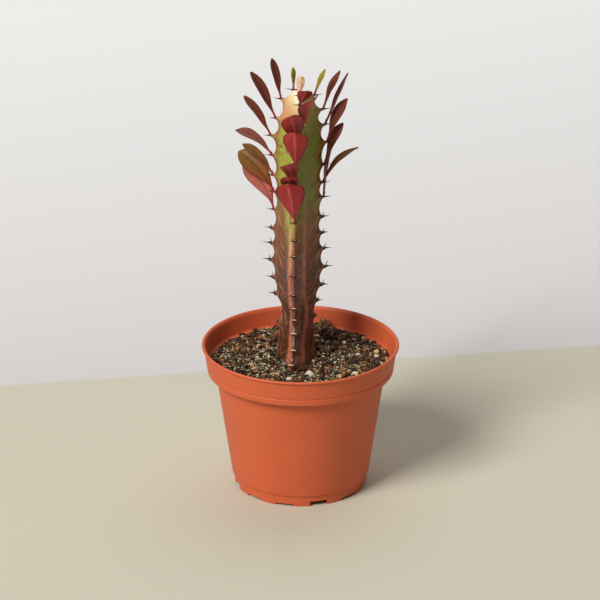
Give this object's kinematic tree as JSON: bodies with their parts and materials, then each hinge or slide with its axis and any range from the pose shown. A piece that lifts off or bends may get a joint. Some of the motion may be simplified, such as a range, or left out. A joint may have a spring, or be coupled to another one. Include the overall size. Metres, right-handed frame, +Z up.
{
  "type": "potted euphorbia",
  "caption": "Young three-ribbed succulent euphorbia with toothed ribs, paired spines and red-brown leaves, growing in a round terracotta-coloured plastic nursery pot filled with potting mix.",
  "frame": {"origin": "centre of the pot's foot, on the surface that the pot stands on", "axes": "+Z up along the pot's axis and the stem, -Y towards the side where one rib of the stem faces the viewer, +X to that viewer's right"},
  "size_m": [0.11, 0.11, 0.2473],
  "materials": {
    "pot_plastic": "moulded terracotta-coloured polypropylene, satin-matte",
    "potting_mix": "damp peat with composted bark, grit and perlite, crumbly and matt",
    "succulent_skin": "waxy living skin, satin, green flushed with brown and red"
  },
  "bodies": {
    "root": {"pot": "pot_plastic", "potting_soil": "potting_mix", "leafy_stem": "succulent_skin"}
  },
  "joints": []
}
